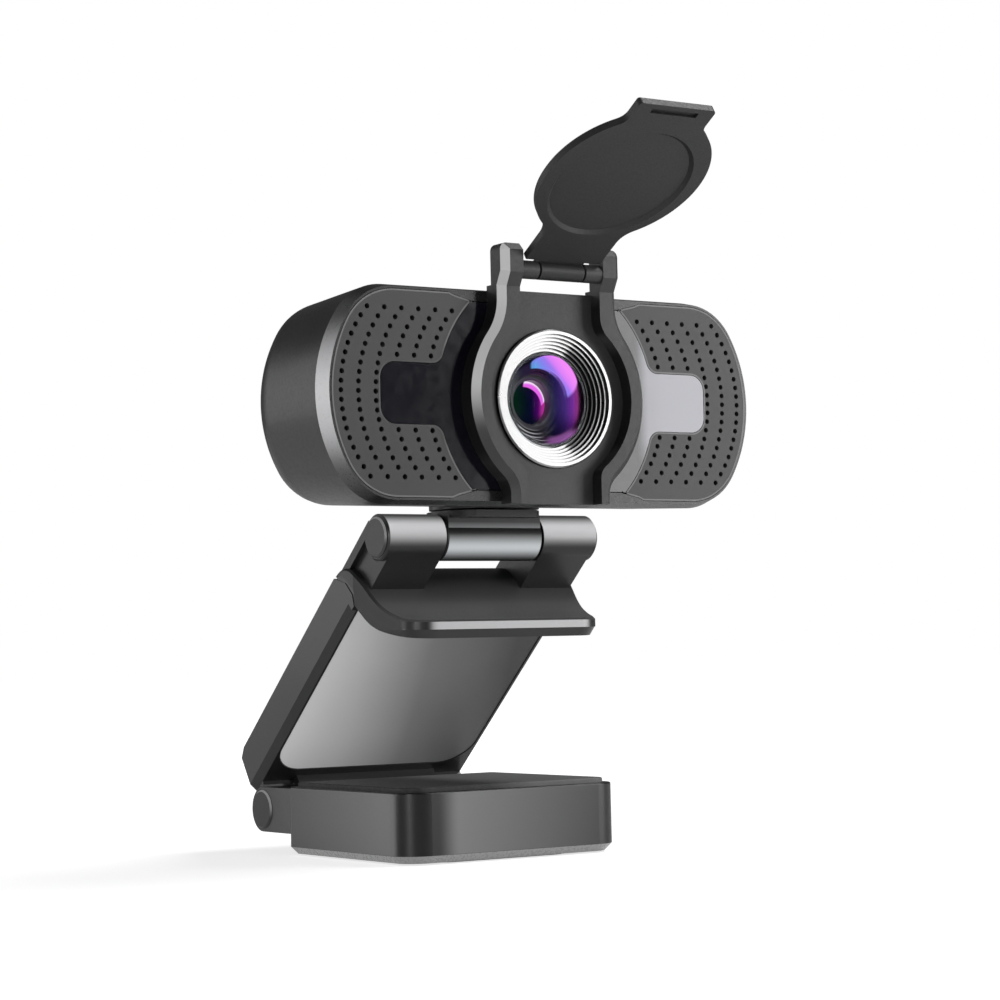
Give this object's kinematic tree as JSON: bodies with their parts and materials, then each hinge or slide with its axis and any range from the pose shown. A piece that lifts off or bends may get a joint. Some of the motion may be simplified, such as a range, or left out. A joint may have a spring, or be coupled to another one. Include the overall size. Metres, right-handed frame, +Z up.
{
  "type": "webcam",
  "caption": "Webcam with perforated front, stepped lens ring and flip-up privacy flap, swivelling on a folding clip stand with a slanting leg and block base.",
  "frame": {"origin": "middle of the underside of the stand base, on the axis of the tripod socket", "axes": "+Z up; the lens looks along -Y at rest; X runs along the hinge pins"},
  "size_m": [0.0842, 0.1046, 0.1178],
  "materials": {
    "black_gloss": "glossy",
    "rubber_pad": "glossy",
    "black_plastic": "satin",
    "rubber_foot": "matte",
    "brass": "satin",
    "screw_steel": "satin",
    "pin_steel": "satin",
    "cap_plastic": "satin",
    "leg_plastic": "satin",
    "satin_panel": "satin",
    "lip_plastic": "satin",
    "washer_steel": "satin",
    "neck_plastic": "satin",
    "housing_gloss": "glossy",
    "bezel_metallic": "satin",
    "grille_plastic": "matte",
    "fascia_gloss": "glossy",
    "silver_ring": "polished",
    "barrel_black": "matte",
    "lens_glass": "polished",
    "lens_glass_rear": "polished",
    "holder_plastic": "matte",
    "filter_glass": "polished",
    "sensor_chip": "satin",
    "board_green": "satin",
    "chip_black": "matte",
    "socket_white": "matte",
    "gland_rubber": "matte",
    "mic_metal": "satin",
    "boot_rubber": "matte",
    "led_clear": "polished",
    "frame_plastic": "matte",
    "flap_plastic": "matte"
  },
  "bodies": {
    "base": {"base_shell": "black_gloss", "base_pad": "rubber_pad", "base_cover": "black_plastic", "rubber_foot": "rubber_foot", "tripod_insert": "brass", "base_screws": "screw_steel", "fold_pin": "pin_steel", "fold_caps": "cap_plastic"},
    "leg": {"leg_shell": "leg_plastic", "leg_panel": "satin_panel", "lip_cover": "lip_plastic", "tilt_bolt": "pin_steel", "tilt_nut": "screw_steel", "tilt_washers": "washer_steel", "tilt_caps": "cap_plastic"},
    "neck": {"neck_block": "neck_plastic", "swivel_washer": "washer_steel", "swivel_screw": "screw_steel"},
    "head": {"rear_housing": "housing_gloss", "front_bezel": "bezel_metallic", "grille_right": "grille_plastic", "grille_left": "grille_plastic", "fascia_panel": "fascia_gloss", "housing_screws": "screw_steel", "lens_ring": "silver_ring", "lens_barrel": "barrel_black", "lens_front": "lens_glass", "lens_retainer": "barrel_black", "lens_rear": "lens_glass_rear", "lens_holder": "holder_plastic", "ir_filter": "filter_glass", "image_sensor": "sensor_chip", "main_board": "board_green", "board_screws": "screw_steel", "image_processor": "chip_black", "cable_socket": "socket_white", "cable_gland": "gland_rubber", "microphones": "mic_metal", "mic_boots": "boot_rubber", "status_led": "led_clear", "shutter_frame": "frame_plastic", "shutter_pin": "pin_steel"},
    "flap": {"shutter_flap": "flap_plastic"}
  },
  "joints": [
    {"name": "base_fold", "type": "hinge", "parent": "base", "child": "leg", "pos_m": [0, 0.02905, 0.0076], "axis": [1, 0, 0], "range_deg": [-75, 22]},
    {"name": "head_tilt", "type": "hinge", "parent": "leg", "child": "neck", "pos_m": [0, -0.01145, 0.0536], "axis": [1, 0, 0], "range_deg": [-28, 45]},
    {"name": "head_swivel", "type": "hinge", "parent": "neck", "child": "head", "pos_m": [0, -0.01145, 0.0596], "axis": [0, 0, 1], "range_deg": [-170, 170]},
    {"name": "shutter_hinge", "type": "hinge", "parent": "head", "child": "flap", "pos_m": [0, -0.03545, 0.0957], "axis": [1, 0, 0], "range_deg": [-41, 121.5]}
  ]
}
